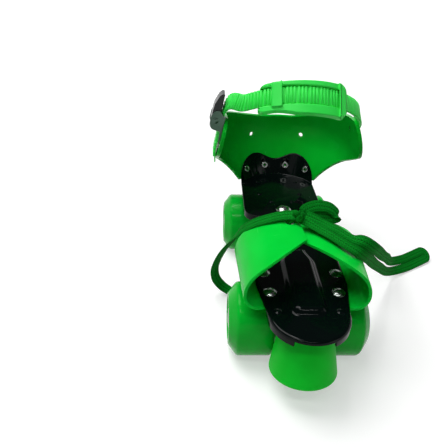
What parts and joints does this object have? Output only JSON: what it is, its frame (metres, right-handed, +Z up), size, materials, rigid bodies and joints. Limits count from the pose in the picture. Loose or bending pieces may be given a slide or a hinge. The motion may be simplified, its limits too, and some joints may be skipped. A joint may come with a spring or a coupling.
{
  "type": "strap-on quad roller skate",
  "caption": "Adjustable strap-on quad roller skate in bright green plastic and black pressed steel, with toe flaps, lace, heel cup and buckled ankle strap",
  "frame": {"origin": "on the ground under the middle of the wheelbase, midway between the two rows of wheels", "axes": "toe towards -Y, heel towards +Y, +Z up, buckle side (wearer's right) towards -X"},
  "size_m": [0.2053, 0.2402, 0.1765],
  "materials": {
    "green_plastic": "gloss moulded plastic",
    "green_wheel": "satin moulded plastic",
    "green_rubber": "satin moulded rubber",
    "green_strap": "ribbed soft plastic",
    "green_lace": "flat woven lace",
    "black_steel": "gloss black paint on pressed steel",
    "zinc_steel": "bright zinc plate",
    "bright_steel": "polished nickel plate",
    "bearing_steel": "ground bearing steel",
    "black_plastic": "satin black plastic"
  },
  "bodies": {
    "front_frame": {"front_plate": "black_steel", "slide_bar": "zinc_steel", "front_truck": "black_steel", "front_axle_cradle": "black_steel", "front_axle": "zinc_steel", "front_axle_spacers": "zinc_steel", "front_axle_washers": "zinc_steel", "front_axle_nuts": "zinc_steel", "front_inner_races": "bearing_steel", "front_bolt": "bright_steel", "front_clamp_washer": "zinc_steel", "front_bolt_nut": "zinc_steel", "toe_flap_right": "green_plastic", "toe_flap_left": "green_plastic", "toe_flap_rivets": "bright_steel", "toe_stop": "green_rubber", "toe_stop_bracket": "black_steel", "toe_stop_bolt": "zinc_steel", "toe_stop_nut": "zinc_steel", "toe_stop_rivets": "black_steel", "lace_knot": "green_lace", "lace_cross": "green_lace", "lace_tail": "green_lace", "lace_long_loop": "green_lace", "lace_small_loop": "green_lace"},
    "heel_frame": {"heel_plate": "black_steel", "rear_truck": "black_steel", "rear_axle_cradle": "black_steel", "rear_axle": "zinc_steel", "rear_axle_spacers": "zinc_steel", "rear_axle_washers": "zinc_steel", "rear_axle_nuts": "zinc_steel", "rear_inner_races": "bearing_steel", "adjusting_bolt": "bright_steel", "adjusting_washer": "zinc_steel", "rear_truck_rivets": "black_steel", "heel_cup": "green_plastic", "heel_strip": "bright_steel", "heel_rivets": "bright_steel", "ankle_strap": "green_strap", "strap_rivet": "bright_steel", "buckle_frame": "bright_steel", "buckle_pin": "bright_steel", "buckle_rivets": "bright_steel"},
    "wheel_assembly_front_right": {"wheel_front_right": "green_wheel", "races_front_right": "bearing_steel", "balls_front_right": "bearing_steel"},
    "wheel_assembly_front_left": {"wheel_front_left": "green_wheel", "races_front_left": "bearing_steel", "balls_front_left": "bearing_steel"},
    "wheel_assembly_rear_right": {"wheel_rear_right": "green_wheel", "races_rear_right": "bearing_steel", "balls_rear_right": "bearing_steel"},
    "wheel_assembly_rear_left": {"wheel_rear_left": "green_wheel", "races_rear_left": "bearing_steel", "balls_rear_left": "bearing_steel"},
    "pad_body": {"strap_pad": "green_plastic"},
    "lever_body": {"buckle_lever": "black_plastic"},
    "nut_body": {"adjusting_nut": "zinc_steel"}
  },
  "joints": [
    {"name": "spin_front_right", "type": "hinge", "parent": "front_frame", "child": "wheel_assembly_front_right", "pos_m": [-0.032, -0.065, 0.026], "axis": [1, 0, 0], "continuous": true},
    {"name": "spin_front_left", "type": "hinge", "parent": "front_frame", "child": "wheel_assembly_front_left", "pos_m": [0.032, -0.065, 0.026], "axis": [1, 0, 0], "continuous": true},
    {"name": "spin_rear_right", "type": "hinge", "parent": "heel_frame", "child": "wheel_assembly_rear_right", "pos_m": [-0.032, 0.065, 0.026], "axis": [1, 0, 0], "continuous": true},
    {"name": "spin_rear_left", "type": "hinge", "parent": "heel_frame", "child": "wheel_assembly_rear_left", "pos_m": [0.032, 0.065, 0.026], "axis": [1, 0, 0], "continuous": true},
    {"name": "length_slide", "type": "slide", "parent": "front_frame", "child": "heel_frame", "axis": [0, 1, 0], "range_m": [-0.026, 0.014]},
    {"name": "lever_hinge", "type": "hinge", "parent": "heel_frame", "child": "lever_body", "pos_m": [-0.05876, 0.036, 0.13839], "axis": [0, -1, 0], "range_deg": [0, 100]},
    {"name": "pad_slide", "type": "hinge", "parent": "heel_frame", "child": "pad_body", "pos_m": [0, 0.04312, 0.13303], "axis": [0, 0.6428, 0.766], "range_deg": [-10, 10]},
    {"name": "clamp_nut_turn", "type": "hinge", "parent": "heel_frame", "child": "nut_body", "pos_m": [0, 0.026, 0.0555], "axis": [0, 0, 1], "continuous": true}
  ]
}
